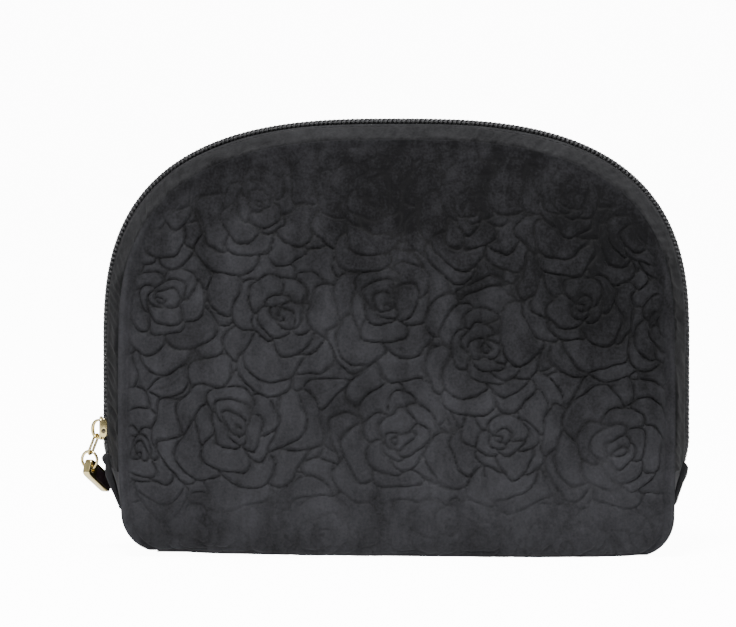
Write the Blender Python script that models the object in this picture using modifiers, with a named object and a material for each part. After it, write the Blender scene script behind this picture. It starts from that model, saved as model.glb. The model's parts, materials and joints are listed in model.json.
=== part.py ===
"""Dome-topped makeup bag in embossed velvet, with a coil zip over the arch and a chain pull.

Metres, +Z up, the front of the bag faces -Y. The origin is on the floor, under the middle
of the base. The closed zip lies in the plane y = 0, and the bag is the same front and back.
"""
import math

import bmesh
import bpy
import numpy as np
from mathutils import Matrix, Vector

MM = 0.001
NAME = "makeup_bag"

# Outline of the closed zip, seen from the front
HALF_WIDTH = 107.4 * MM         # middle of the bag to the outer side of the coil
HEIGHT = 158.5 * MM             # floor to the top of the coil
SHOULDER_Z = 75.0 * MM          # the sides are straight below this, and the dome starts here
DOME_POWER = 2.8                # 2 would be an ellipse; more makes squarer shoulders
ZIP_END_Z = 31.0 * MM           # both ends of the zip
TAPER_TOP_Z = 42.0 * MM         # below this the zip and the gusset draw in to the panels' rim
TAPER_LOW_Z = 12.0 * MM

# Panels
RIM_INSET = 6.4 * MM            # panel rim, inside the outer side of the coil, at the sides
TOP_SHARE = 1.15                # such an inset at the top of the dome, against the sides
RIM_DEPTH_TOP = 15.0 * MM       # middle plane to the rim at the top of the dome
RIM_DEPTH_LOW = 29.0 * MM       # middle plane to the rim where the panel starts to turn under
DEPTH_POWER = 1.3
BULGE = 4.0 * MM                # how far the padded panel swells beyond its rim
ROLL_HEIGHT = 14.0 * MM         # height over which the panel turns under the bag
CORNER_REACH = 12.0 * MM        # how far the lower corners are drawn in, across the bag
BASE_HALF_DEPTH_END = RIM_DEPTH_LOW - 5.0 * MM
BASE_BOW = 4.0 * MM             # extra half depth of the base at its middle

# Thicknesses
VELVET = 1.2 * MM
FOAM = 1.8 * MM
LINING = 0.6 * MM
BOARD = 1.8 * MM
TAPE = 0.5 * MM
GAP = 0.3 * MM                  # between pieces that touch
SEAM_GAP = 0.4 * MM             # between the cut edges that a seam joins
LINING_INSET = 2.8 * MM         # rim to the edge of the padding and of the panel's lining
LINING_START = math.radians(50) # how far round the roll the padding and lining begin

# Zip
COIL_HALF = 3.1 * MM            # middle plane to the outer side of one closed coil
COIL_HEIGHT = 2.4 * MM
MESH_GAP = 0.15 * MM            # half the gap where the two sides of the zip meet
FLARE = 0.65 * MM               # how far each side is pushed aside below the slider
FACING_EDGE = COIL_HALF + 2.2 * MM  # middle plane to the folded edge of the facing
FACING_DROP = 1.0 * MM          # the facing lies this far below the top of the coil
TAPE_HALF = 11.0 * MM
SLIT_EDGE = FACING_EDGE + 1.0 * MM  # middle plane to the edge of the facing's lining

# Slider, crown and pull chain
SLIDER_LOW_Z = 40.0 * MM
SLIDER_HIGH_Z = 50.0 * MM
SLIDER_HALF_WIDTH = COIL_HALF + 1.4 * MM
WING = 1.1 * MM
FLANGE = 0.6 * MM
FLANGE_REACH = 3.4 * MM
DIVIDER_HALF = 0.5 * MM
DIVIDER_LENGTH = 3.0 * MM
CROWN_HEIGHT = 2.9 * MM
CROWN_HALF_LENGTH = 4.1 * MM
CROWN_STRAP = 0.95 * MM
CROWN_HALF_WIDTH = 0.6 * MM
LINK_WIRE = 0.45 * MM           # radius
LINK_HALF_WIDTH = 1.8 * MM      # middle of the wire
LINK_REACH = Vector((-2.8, 0.0, -7.2)) * MM
LINK_TWIST = math.radians(20)
RING_WIRE = 0.5 * MM            # radius
RING_RADIUS = 3.15 * MM         # middle of the wire
WIRE_GAP = 0.12 * MM            # between wires that hang in each other
RING_TURN = math.radians(27)    # how far the ring's axis is turned from the Y axis
PULL_LENGTH = 17.7 * MM
PULL_WIDTH = 6.5 * MM
PULL_THICKNESS = 3.0 * MM
PULL_EYE_RADIUS = 1.15 * MM
PULL_HEAD = 2.2 * MM            # middle of the eye to the end of the pull
PULL_FRAME = 0.9 * MM
PULL_DROP = math.radians(28.0)  # how far the pull points below the horizontal

# End tabs
TAB_HALF_WIDTH = 6.0 * MM
TAB_LOW_Z = 19.0 * MM
TAB_THICKNESS = 1.9 * MM
TAB_BEAD = 1.3 * MM

# How finely the walls are divided
PANEL_ROWS = 18
LAYER_ROWS = 12
ROLL_SHARE = 1.0 / 3.0          # share of those rows that lies in the roll
ARCH_STEPS_ROUND = 60
GUSSET_STEPS = 22               # from the middle of the base to one end of the zip
FLAT_STEPS = 13
CORNER_STEPS = 6

DOME_RISE = HEIGHT - SHOULDER_Z
RIM_HALF_WIDTH = HALF_WIDTH - RIM_INSET
BASE_HALF_WIDTH = RIM_HALF_WIDTH - CORNER_REACH
RIM_TOP_Z = HEIGHT - TOP_SHARE * RIM_INSET


def clear_scene():
    for item in list(bpy.data.objects):
        bpy.data.objects.remove(item, do_unlink=True)


def new_collection(name):
    group = bpy.data.collections.new(name)
    bpy.context.scene.collection.children.link(group)
    return group


def new_material(name, colour, roughness, metallic=0.0):
    finish = bpy.data.materials.new(name)
    finish.use_nodes = True
    shader = finish.node_tree.nodes["Principled BSDF"]
    shader.inputs["Base Color"].default_value = (*colour, 1.0)
    shader.inputs["Roughness"].default_value = roughness
    shader.inputs["Metallic"].default_value = metallic
    finish.diffuse_color = (*colour, 1.0)
    return finish


def smooth(value):
    value = min(max(value, 0.0), 1.0)
    return value * value * (3.0 - 2.0 * value)


def mix(first, second, share):
    return first + (second - first) * share


# ---------------------------------------------------------------- shape of the bag

def rim_depth(z):
    """Middle plane to the panel's rim at height z, above the roll."""
    share = max(z - ROLL_HEIGHT, 0.0) / (RIM_TOP_Z - ROLL_HEIGHT)
    return mix(RIM_DEPTH_LOW, RIM_DEPTH_TOP, share ** DEPTH_POWER)


def base_half_depth(x):
    return BASE_HALF_DEPTH_END + BASE_BOW * (1.0 - (x / BASE_HALF_WIDTH) ** 2)


def rim_top(x, inset=0.0):
    """Height of the dome's rim above a place x across the bag."""
    share = min(abs(x) / (RIM_HALF_WIDTH - inset), 1.0)
    rise = (1.0 - share ** DOME_POWER) ** (1.0 / DOME_POWER)
    return SHOULDER_Z + (RIM_TOP_Z - SHOULDER_Z - inset) * rise


def half_outline(step, inset, depth):
    """Half of the arch: step 0 is the zip's lower end, 1 is the top of the dome."""
    leg = 0.25
    reach = HALF_WIDTH - inset - depth
    if step < leg:
        z = mix(ZIP_END_Z, SHOULDER_Z, step / leg)
        taper = 1.0 - smooth((z - TAPER_LOW_Z) / (TAPER_TOP_Z - TAPER_LOW_Z))
        return reach - (RIM_INSET - inset) * taper, z
    turn = 0.5 * math.pi * (step - leg) / (1.0 - leg)
    x = reach * max(math.cos(turn), 0.0) ** (2.0 / DOME_POWER)
    rise = math.sin(turn) ** (2.0 / DOME_POWER)
    return x, SHOULDER_Z + (DOME_RISE - TOP_SHARE * inset - depth) * rise


def even_steps():
    """Steps of half_outline against the share of the arch's length that they reach."""
    steps = np.linspace(0.0, 1.0, 2001)
    points = np.array([half_outline(step, 0.0, 0.0) for step in steps])
    lengths = np.concatenate([[0.0], np.cumsum(np.hypot(*np.diff(points, axis=0).T))])
    return lengths / lengths[-1], steps


ARCH_SHARES, ARCH_STEPS = even_steps()


def arch(along, inset, depth=0.0):
    """A point of the arch, along -1 (left end of the zip) to 1 (right end)."""
    step = float(np.interp(1.0 - abs(along), ARCH_SHARES, ARCH_STEPS))
    x, z = half_outline(step, inset, depth)
    return math.copysign(x, along), z


def panel_point(across, up, inset=0.0, start=0.0):
    """Outer surface of the front panel: across -1 to 1, up 0 (base edge) to 1 (rim)."""
    side = math.sin(0.5 * math.pi * across)
    if up < ROLL_SHARE:
        turn = mix(start, 0.5 * math.pi, up / ROLL_SHARE)
        swing = math.sin(turn)
        z = ROLL_HEIGHT * (1.0 - math.cos(turn))
        x = side * (BASE_HALF_WIDTH - inset + CORNER_REACH * swing)
        rim_x = BASE_HALF_WIDTH + CORNER_REACH * swing
        low = base_half_depth(x)
        swell = BULGE * (1.0 - (x / rim_x) ** 4)
        return Vector((x, -mix(low, RIM_DEPTH_LOW + swell, swing), z))
    x = side * (RIM_HALF_WIDTH - inset)
    z = mix(ROLL_HEIGHT, rim_top(x, inset), (up - ROLL_SHARE) / (1.0 - ROLL_SHARE))
    swell = BULGE * (1.0 - (x / RIM_HALF_WIDTH) ** 4)
    swell *= smooth((rim_top(x) - z) / (4.0 * ROLL_HEIGHT))
    return Vector((x, -(rim_depth(z) + swell), z))


def facing_point(along, share, depth=0.0):
    """Front half of the arch's top strip: share 0 is its zip edge, 1 is the panel's rim."""
    edge_x, edge_z = arch(along, FACING_DROP, depth)
    rim_x, rim_z = arch(along, RIM_INSET, depth)
    rim_y = rim_depth(rim_z) - VELVET - SEAM_GAP
    y = mix(FACING_EDGE, rim_y, share)
    return Vector((mix(edge_x, rim_x, share), -y, mix(edge_z, rim_z, share)))


def facing_share(along, y):
    """Where across the facing the given distance from the middle plane is."""
    rim_z = arch(along, RIM_INSET)[1]
    return (y - FACING_EDGE) / (rim_depth(rim_z) - VELVET - SEAM_GAP - FACING_EDGE)


def zip_parting(along):
    """Half the gap between the two sides of the zip, wider below the slider."""
    z = arch(along, 0.0)[1]
    if along > 0.0:
        return MESH_GAP
    open_z = SLIDER_LOW_Z + 2.0 * DIVIDER_LENGTH
    closed = smooth((z - open_z) / (SLIDER_HIGH_Z - SLIDER_LOW_Z - DIVIDER_LENGTH))
    return MESH_GAP + FLARE * (1.0 - closed)


def gusset_outline(step, depth, lift):
    """Half of the base gusset's U: step 0 is the middle of the base, 1 the zip's end.

    Gives x, z and how far round the roll the place is, 0 on the base and 1 above it.
    """
    flat = FLAT_STEPS / GUSSET_STEPS
    turn_end = (FLAT_STEPS + CORNER_STEPS) / GUSSET_STEPS
    reach = BASE_HALF_WIDTH - 1.2 * depth
    if step < flat:
        return reach * step / flat, lift, 0.0
    side_x = RIM_HALF_WIDTH - depth
    if step < turn_end:
        turn = 0.5 * math.pi * (step - flat) / (turn_end - flat)
        swing = math.sin(turn)
        return mix(reach, side_x, swing), mix(ROLL_HEIGHT, lift, math.cos(turn)), swing
    share = (step - turn_end) / (1.0 - turn_end)
    return side_x, mix(ROLL_HEIGHT, ZIP_END_Z - GAP, share), 1.0


def gusset_point(along, across, depth=0.0, lift=0.0, edge=None):
    """Outer surface of the base gusset: along -1 to 1 (left to right), across -1 to 1."""
    x, z, swing = gusset_outline(abs(along), depth, lift)
    low = base_half_depth(x)
    rim_y = rim_depth(z) if swing == 1.0 else mix(low, RIM_DEPTH_LOW, swing)
    if edge is None:
        edge = SEAM_GAP + VELVET * min(1.0, 0.45 + math.sqrt(swing))
    rim_y -= edge
    middle = 0.3
    if abs(across) < middle:
        y, fall = FACING_EDGE * abs(across) / middle, 0.0
    else:
        fall = (abs(across) - middle) / (1.0 - middle)
        y = mix(FACING_EDGE, rim_y, fall)
    crown = smooth((z - TAPER_LOW_Z) / (TAPER_TOP_Z - TAPER_LOW_Z)) if swing > 0.5 else 0.0
    x += (RIM_INSET - FACING_DROP) * crown * (1.0 - fall)
    return Vector((math.copysign(x, along), math.copysign(y, across), z))


# ---------------------------------------------------------------- making pieces

def add_object(name, mesh, finish, group):
    item = bpy.data.objects.new(name, mesh)
    mesh.materials.append(finish)
    group.objects.link(item)
    return item


def add_sheet(name, columns, rows, place, thickness, finish, group, sink=0.0, flip=False):
    """A wall: place(u, v) gives its outer surface for u -1 to 1 and v 0 to 1."""
    work = bmesh.new()
    bmesh.ops.create_grid(work, x_segments=columns, y_segments=rows, size=1.0)
    for vert in work.verts:
        vert.co = place(vert.co.x, 0.5 * (vert.co.y + 1.0))
    if flip:
        bmesh.ops.reverse_faces(work, faces=work.faces)
    mesh = bpy.data.meshes.new(name)
    work.to_mesh(mesh)
    work.free()
    mesh.shade_smooth()
    item = add_object(name, mesh, finish, group)
    if sink:
        shift = item.modifiers.new("sink", "DISPLACE")
        shift.strength = -sink
        shift.mid_level = 0.0
    wall = item.modifiers.new("wall", "SOLIDIFY")
    wall.thickness = thickness
    wall.offset = -1.0
    wall.use_even_offset = True
    return item


def mirrored(place, side):
    """The same wall for the back of the bag when side is 1."""
    def turned(u, v):
        point = place(u, v)
        return Vector((point.x, -point.y * side, point.z))
    return turned


def add_box(name, low, high, finish, group, bevel=0.0):
    size = [b - a for a, b in zip(low, high)]
    middle = [0.5 * (a + b) for a, b in zip(low, high)]
    work = bmesh.new()
    bmesh.ops.create_cube(work, size=1.0)
    bmesh.ops.scale(work, vec=size, verts=work.verts)
    bmesh.ops.translate(work, vec=middle, verts=work.verts)
    mesh = bpy.data.meshes.new(name)
    work.to_mesh(mesh)
    work.free()
    item = add_object(name, mesh, finish, group)
    if bevel:
        add_bevel(item, bevel)
    return item


def add_bevel(item, width):
    edge = item.modifiers.new("edge", "BEVEL")
    edge.width = width
    edge.segments = 2
    edge.limit_method = "ANGLE"


def add_outline(name, points, half_depth, finish, group):
    """A flat outline in the XZ plane, as thick as half_depth on each side of y = 0."""
    curve = bpy.data.curves.new(name, "CURVE")
    curve.dimensions = "2D"
    curve.fill_mode = "BOTH"
    curve.extrude = half_depth
    spline = curve.splines.new("POLY")
    spline.points.add(len(points) - 1)
    for target, (x, z) in zip(spline.points, points):
        target.co = (x, z, 0.0, 1.0)
    spline.use_cyclic_u = True
    curve.materials.append(finish)
    item = bpy.data.objects.new(name, curve)
    item.rotation_euler.x = math.radians(90)
    group.objects.link(item)
    return item


def use_cutter(item, cutter, operation):
    cutter.hide_render = True
    cutter.display_type = "WIRE"
    cut = item.modifiers.new(cutter.name, "BOOLEAN")
    cut.operation = operation
    cut.object = cutter


def add_axis(name, place, group, parent=None):
    """An empty on a joint's axis."""
    empty = bpy.data.objects.new(name, None)
    empty.empty_display_size = 5 * MM
    empty.matrix_world = Matrix.Translation(place)
    group.objects.link(empty)
    if parent:
        attach(empty, parent)
    return empty


def attach(item, parent):
    bpy.context.view_layer.update()
    item.parent = parent
    item.matrix_parent_inverse = parent.matrix_world.inverted()


# ---------------------------------------------------------------- the bag

def build_panels(group, finishes, label, side):
    """Velvet panel, foam padding and lining of the front (side -1) or back (side 1)."""
    def layer(inset, start):
        def place(u, v):
            point = panel_point(u, v, inset, start)
            return Vector((point.x, -point.y * side, point.z))
        return place

    back = side > 0
    add_sheet(f"{label}_panel", 24, PANEL_ROWS, layer(0.0, 0.0), VELVET, finishes["velvet"],
              group, flip=back)
    inner = layer(LINING_INSET, LINING_START)
    add_sheet(f"{label}_padding", 14, LAYER_ROWS, inner, FOAM, finishes["foam"], group,
              sink=VELVET + GAP, flip=back)
    add_sheet(f"{label}_lining", 14, LAYER_ROWS, inner, LINING, finishes["lining"], group,
              sink=VELVET + FOAM + 2 * GAP, flip=back)


def build_facing(group, finishes, label, side):
    """Velvet strip between the panel's rim and the zip, with its lining."""
    back = side > 0
    add_sheet(f"{label}_facing", ARCH_STEPS_ROUND, 2, mirrored(lambda u, v: facing_point(u, 1.0 - v), side),
              VELVET, finishes["velvet"], group, flip=back)
    depth = VELVET + TAPE + 3.3 * GAP

    def lining(u, v):
        rim_z = arch(u, RIM_INSET)[1]
        outer = rim_depth(rim_z) - VELVET - FOAM - LINING - 4.3 * GAP
        share = facing_share(u, mix(outer, SLIT_EDGE, v))
        return facing_point(u, share, depth)

    add_sheet(f"{label}_facing_lining", ARCH_STEPS_ROUND, 1, mirrored(lining, side), LINING,
              finishes["lining"], group, flip=back)


def build_zip_half(group, finishes, label, side):
    """Woven tape and nylon coil of one side of the zip."""
    back = side > 0
    under = COIL_HEIGHT + GAP

    def coil(u, v):
        x, z = arch(u, 0.0)
        return Vector((x, -(zip_parting(u) + (COIL_HALF - MESH_GAP) * (1.0 - v)), z))

    def tape(u, v):
        if v > 0.5:
            x, z = arch(u, 0.0, under)
            return Vector((x, -mix(FACING_EDGE, zip_parting(u), 2.0 * v - 1.0), z))
        share = facing_share(u, TAPE_HALF) * (1.0 - 2.0 * v)
        if v == 0.5:
            x, z = arch(u, FACING_DROP, under - FACING_DROP)
            return Vector((x, -FACING_EDGE, z))
        return facing_point(u, share, under - FACING_DROP)

    add_sheet(f"{label}_zip_coil", ARCH_STEPS_ROUND, 1, mirrored(coil, side), COIL_HEIGHT,
              finishes["coil"], group, flip=back)
    add_sheet(f"{label}_zip_tape", ARCH_STEPS_ROUND, 2, mirrored(tape, side), TAPE,
              finishes["tape"], group, flip=back)


def build_base(group, finishes):
    """Velvet gusset under the bag and up both sides, its stiffener and its lining."""
    add_sheet("base_gusset", 2 * GUSSET_STEPS, 8, lambda u, v: gusset_point(u, 2.0 * v - 1.0), VELVET,
              finishes["velvet"], group, flip=True)

    def board(u, v):
        x = u * (BASE_HALF_WIDTH - 2.0 * MM)
        y = (2.0 * v - 1.0) * (base_half_depth(x) - 1.5 * MM)
        return Vector((x, y, VELVET + GAP))

    add_sheet("base_board", 16, 4, board, BOARD, finishes["board"], group, flip=True)
    edge = VELVET + FOAM + LINING + 4.3 * GAP
    lift = VELVET + BOARD + 2.3 * GAP

    def lining(u, v):
        return gusset_point(u, 2.0 * v - 1.0, VELVET + 1.7 * GAP, lift, edge)

    add_sheet("base_lining", 2 * GUSSET_STEPS, 6, lining, LINING, finishes["lining"], group, flip=True)


def build_tab(group, finishes, label, side):
    """Folded velvet tab with a rolled top that covers one end of the zip."""
    count = 5
    outer = []
    inner = []
    for i in range(count):
        z = mix(TAB_LOW_Z, ZIP_END_Z - 2.6 * TAB_BEAD, i / (count - 1))
        crown = smooth((z - TAPER_LOW_Z) / (TAPER_TOP_Z - TAPER_LOW_Z))
        x = RIM_HALF_WIDTH + (RIM_INSET - FACING_DROP) * crown + 2 * GAP
        inner.append((side * x, z))
        outer.append((side * (x + TAB_THICKNESS), z))
    bead_x = abs(inner[-1][0]) + TAB_BEAD + 0.5 * GAP
    bead_z = inner[-1][1] + TAB_BEAD
    bead = []
    for i in range(9):
        turn = math.radians(-20 + 220 * i / 8)
        bead.append((side * (bead_x + TAB_BEAD * math.cos(turn)),
                     bead_z + TAB_BEAD * math.sin(turn)))
    add_outline(f"{label}_end_tab", outer + bead + inner[::-1], TAB_HALF_WIDTH,
                finishes["velvet"], group)


# ---------------------------------------------------------------- slider and chain

def build_slider(group, cutters, finishes, axis):
    """Die-cast body: outer wing with two flanges, inner wing, and the post between them."""
    crest = -HALF_WIDTH
    wing_in = crest - GAP
    wing_out = wing_in - WING
    under = crest + COIL_HEIGHT + TAPE + 2 * GAP + 0.2 * MM
    metal = finishes["gold"]
    body = add_box("slider_body", (wing_out, -SLIDER_HALF_WIDTH, SLIDER_LOW_Z),
                   (wing_in, SLIDER_HALF_WIDTH, SLIDER_HIGH_Z), metal, group, 0.25 * MM)
    overlap = 0.5 * WING
    inner_z = SLIDER_LOW_Z + 0.5 * MM, SLIDER_HIGH_Z - 0.5 * MM
    for label, side in (("front", -1), ("back", 1)):
        ys = sorted((side * (SLIDER_HALF_WIDTH - FLANGE), side * (SLIDER_HALF_WIDTH - 0.05 * MM)))
        flange = add_box(f"{label}_flange", (wing_in - overlap, ys[0], inner_z[0]),
                         (wing_out + FLANGE_REACH, ys[1], inner_z[1]), metal, cutters)
        use_cutter(body, flange, "UNION")
    post = add_box("slider_post", (wing_in - overlap, -DIVIDER_HALF, inner_z[0]),
                   (under + overlap, DIVIDER_HALF, inner_z[0] + DIVIDER_LENGTH), metal, cutters)
    use_cutter(body, post, "UNION")
    inner = add_box("inner_wing", (under, -SLIDER_HALF_WIDTH, SLIDER_LOW_Z),
                    (under + WING, SLIDER_HALF_WIDTH, SLIDER_HIGH_Z), metal, cutters, 0.25 * MM)
    use_cutter(body, inner, "UNION")
    attach(body, axis)

    middle_z = 0.5 * (SLIDER_LOW_Z + SLIDER_HIGH_Z) - 0.4 * MM
    foot = wing_out - GAP
    turns = [math.pi * i / 14 for i in range(15)]
    outer = [(foot - CROWN_HEIGHT * math.sin(t), middle_z - CROWN_HALF_LENGTH * math.cos(t))
             for t in turns]
    inner = [(foot - (CROWN_HEIGHT - CROWN_STRAP) * math.sin(t),
              middle_z - (CROWN_HALF_LENGTH - CROWN_STRAP) * math.cos(t)) for t in turns]
    crown = add_outline("slider_crown", outer + inner[::-1], CROWN_HALF_WIDTH, metal, group)
    attach(crown, axis)


def build_link(group, finishes, top, axis):
    """Oblong wire link that hangs in the crown. Gives the place of its lower wire."""
    low = top + LINK_REACH
    down = LINK_REACH.normalized()
    level = Vector((0.0, 1.0, 0.0))
    wide = level * math.cos(LINK_TWIST) - level.cross(down) * math.sin(LINK_TWIST)
    straight = LINK_REACH.length - 2.0 * LINK_HALF_WIDTH
    middle = 0.5 * (top + low)
    curve = bpy.data.curves.new("chain_link", "CURVE")
    curve.dimensions = "3D"
    curve.bevel_depth = LINK_WIRE
    curve.bevel_resolution = 2
    spline = curve.splines.new("POLY")
    count = 24
    spline.points.add(count - 1)
    for i, target in enumerate(spline.points):
        turn = 2.0 * math.pi * (i + 0.5) / count
        end = 1.0 if math.sin(turn) > 0.0 else -1.0
        place = middle + wide * LINK_HALF_WIDTH * math.cos(turn)
        place -= down * (LINK_HALF_WIDTH * math.sin(turn) + 0.5 * straight * end)
        target.co = (*place, 1.0)
    spline.use_cyclic_u = True
    curve.materials.append(finishes["gold"])
    link = bpy.data.objects.new("chain_link", curve)
    group.objects.link(link)
    attach(link, axis)
    return low


def build_ring(group, finishes, hang, axis):
    """Round ring through the link's lower end. Gives its lowest wire's place and direction."""
    hang_gap = LINK_WIRE + RING_WIRE + WIRE_GAP
    level = Vector((math.sin(RING_TURN), math.cos(RING_TURN), 0.0))
    side = level.cross(Vector((0.0, 0.0, 1.0)))
    centre = hang - Vector((0.0, 0.0, RING_RADIUS - hang_gap))
    bpy.ops.mesh.primitive_torus_add(major_segments=32, minor_segments=10,
                                     major_radius=RING_RADIUS, minor_radius=RING_WIRE)
    ring = bpy.context.object
    for owner in list(ring.users_collection):
        owner.objects.unlink(ring)
    group.objects.link(ring)
    ring.name = "chain_ring"
    ring.data.materials.append(finishes["gold"])
    turn = Matrix((side, Vector((0.0, 0.0, 1.0)), -level)).transposed().to_4x4()
    ring.matrix_world = Matrix.Translation(centre) @ turn
    attach(ring, axis)
    return centre - Vector((0.0, 0.0, RING_RADIUS)), side


def build_pull(group, cutters, finishes, eye, hinge, axis):
    """Gold frame with an eye for the ring, and the dark inlay in its window."""
    back = Vector((-hinge.y, hinge.x, 0.0))
    along = back * math.cos(PULL_DROP) - Vector((0.0, 0.0, math.sin(PULL_DROP)))
    frame = Matrix((along, hinge.cross(along), hinge)).transposed().to_4x4()
    world = Matrix.Translation(eye) @ frame
    half = 0.5 * PULL_WIDTH, 0.5 * PULL_THICKNESS
    end = PULL_LENGTH - PULL_HEAD
    body = add_box("pull_frame", (-PULL_HEAD, -half[0], -half[1]), (end, half[0], half[1]),
                   finishes["gold"], group, 0.6 * MM)
    bpy.ops.mesh.primitive_cylinder_add(vertices=24, radius=PULL_EYE_RADIUS, depth=2 * PULL_WIDTH)
    drill = bpy.context.object
    for owner in list(drill.users_collection):
        owner.objects.unlink(drill)
    cutters.objects.link(drill)
    drill.name = "eye_drill"
    window_low = PULL_EYE_RADIUS + 2 * PULL_FRAME
    window = add_box("window", (window_low, PULL_FRAME - half[0], -2 * half[1]),
                     (end - PULL_FRAME, half[0] - PULL_FRAME, 2 * half[1]),
                     finishes["gold"], cutters)
    room = 0.5 * GAP
    inlay = add_box("pull_inlay", (window_low + room, PULL_FRAME - half[0] + room,
                                   room - half[1]),
                    (end - PULL_FRAME - room, half[0] - PULL_FRAME - room, half[1] - room),
                    finishes["leather"], group, 0.3 * MM)
    for item in (body, drill, window, inlay):
        item.matrix_world = world
        attach(item, axis)
    use_cutter(body, drill, "DIFFERENCE")
    use_cutter(body, window, "DIFFERENCE")


def build_chain(group, cutters, finishes):
    """Slider and everything that hangs from it, each on its own axis."""
    wing_out = -HALF_WIDTH - GAP - WING
    travel = add_axis("slider_axis", (wing_out, 0.0, 0.5 * (SLIDER_LOW_Z + SLIDER_HIGH_Z)), group)
    build_slider(group, cutters, finishes, travel)
    top = Vector((wing_out - 0.85 * MM, 0.0, SLIDER_LOW_Z + 2.6 * MM))
    link_axis = add_axis("link_axis", top, group, travel)
    low = build_link(group, finishes, top, link_axis)
    ring_axis = add_axis("ring_axis", low, group, link_axis)
    eye, hinge = build_ring(group, finishes, low, ring_axis)
    pull_axis = add_axis("pull_axis", eye, group, ring_axis)
    build_pull(group, cutters, finishes, eye, hinge, pull_axis)


def build():
    clear_scene()
    group = new_collection(NAME)
    cutters = new_collection("cutters")
    finishes = {
        "velvet": new_material("velvet", (0.030, 0.030, 0.033), 0.95),
        "foam": new_material("foam", (0.55, 0.55, 0.52), 0.95),
        "lining": new_material("lining", (0.020, 0.020, 0.022), 0.60),
        "board": new_material("board", (0.10, 0.10, 0.10), 0.70),
        "tape": new_material("tape", (0.022, 0.022, 0.025), 0.85),
        "coil": new_material("coil", (0.028, 0.028, 0.032), 0.40),
        "gold": new_material("gold", (0.83, 0.68, 0.40), 0.22, 1.0),
        "leather": new_material("leather", (0.018, 0.010, 0.012), 0.45),
    }
    for label, side in (("front", -1), ("back", 1)):
        build_panels(group, finishes, label, side)
        build_facing(group, finishes, label, side)
        build_zip_half(group, finishes, label, side)
    build_base(group, finishes)
    build_tab(group, finishes, "left", -1)
    build_tab(group, finishes, "right", 1)
    build_chain(group, cutters, finishes)


build()
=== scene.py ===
import json
import math

import bmesh
import bpy
import numpy as np
from mathutils import Matrix, Vector


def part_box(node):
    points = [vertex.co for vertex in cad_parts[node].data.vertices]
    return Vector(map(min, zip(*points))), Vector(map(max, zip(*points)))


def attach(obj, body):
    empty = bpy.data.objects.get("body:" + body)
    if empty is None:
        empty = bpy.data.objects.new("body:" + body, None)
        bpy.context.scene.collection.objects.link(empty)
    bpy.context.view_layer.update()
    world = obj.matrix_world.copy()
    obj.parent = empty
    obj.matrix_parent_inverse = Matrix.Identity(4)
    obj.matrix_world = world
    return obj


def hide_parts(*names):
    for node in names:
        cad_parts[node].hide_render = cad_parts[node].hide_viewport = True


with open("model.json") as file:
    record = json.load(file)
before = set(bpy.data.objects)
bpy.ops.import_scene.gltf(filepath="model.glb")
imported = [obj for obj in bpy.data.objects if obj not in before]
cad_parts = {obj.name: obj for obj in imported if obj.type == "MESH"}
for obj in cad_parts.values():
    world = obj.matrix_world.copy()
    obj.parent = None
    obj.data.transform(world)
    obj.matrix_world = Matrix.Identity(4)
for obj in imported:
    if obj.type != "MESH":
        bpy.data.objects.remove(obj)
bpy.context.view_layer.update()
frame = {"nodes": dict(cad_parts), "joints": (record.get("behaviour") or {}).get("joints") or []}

# The studio: a white sweep that runs up behind the bag, soft boxes on both sides and above,
# and a long lens a little above the middle of the bag.
MM = 0.001
VIEW_MIDDLE = Vector((-10.4 * MM, 0.0, 87.0 * MM))
VIEW_WIDTH = 269.5 * MM
VIEW_RISE = math.radians(3.2)
CAMERA_DISTANCE = 2.4
SENSOR = 36.0
camera = bpy.data.objects.new("camera", bpy.data.cameras.new("camera"))
bpy.context.scene.collection.objects.link(camera)
camera.data.sensor_width = SENSOR
camera.data.lens = SENSOR * CAMERA_DISTANCE / VIEW_WIDTH
camera.data.clip_end = 50.0
view_way = Vector((0.0, -math.cos(VIEW_RISE), math.sin(VIEW_RISE)))
camera.location = VIEW_MIDDLE + CAMERA_DISTANCE * view_way
camera.rotation_euler = (math.radians(90) - VIEW_RISE, 0.0, 0.0)
bpy.context.scene.camera = camera

SWEEP_HALF, SWEEP_RADIUS, SWEEP_TOP = 3.0, 0.8, 4.0
bpy.ops.object.select_all(action="DESELECT")
bpy.ops.mesh.primitive_plane_add(size=2 * SWEEP_HALF, location=(0, 0, 0))
sweep = bpy.context.object
sweep.name = "floor"
bpy.ops.object.mode_set(mode="EDIT")
bm = bmesh.from_edit_mesh(sweep.data)
bpy.ops.mesh.select_all(action="DESELECT")
for edge in bm.edges:
    edge.select = all(v.co.y > SWEEP_HALF - 0.01 for v in edge.verts)
bmesh.update_edit_mesh(sweep.data)
bpy.ops.mesh.extrude_region_move(TRANSFORM_OT_translate={"value": (0, 0, SWEEP_TOP)})
bpy.ops.mesh.select_all(action="DESELECT")
bm = bmesh.from_edit_mesh(sweep.data)
for edge in bm.edges:
    edge.select = all(v.co.y > SWEEP_HALF - 0.01 and v.co.z < 0.01 for v in edge.verts)
bmesh.update_edit_mesh(sweep.data)
bpy.ops.mesh.bevel(offset=SWEEP_RADIUS, segments=12)
bpy.ops.object.mode_set(mode="OBJECT")
bpy.ops.object.shade_smooth()


def fill_sockets(tree, node, sockets):
    """Gives each socket its plain value, or links it to another node's output."""
    for socket, value in sockets.items():
        if isinstance(value, bpy.types.NodeSocket):
            tree.links.new(value, node.inputs[socket])
        else:
            node.inputs[socket].default_value = value


def add_node(tree, kind, sockets, **settings):
    """A new shader node with its settings and its sockets."""
    node = tree.nodes.new(f"ShaderNode{kind}")
    for setting, value in settings.items():
        setattr(node, setting, value)
    fill_sockets(tree, node, sockets)
    return node


def blend_colours(tree, first, second, share):
    """The colour between two, the first at share 0. Sockets 6 and 7 are the mix node's colours."""
    return add_node(tree, "Mix", {"Factor": share, 6: first, 7: second}, data_type="RGBA").outputs[2]


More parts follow.
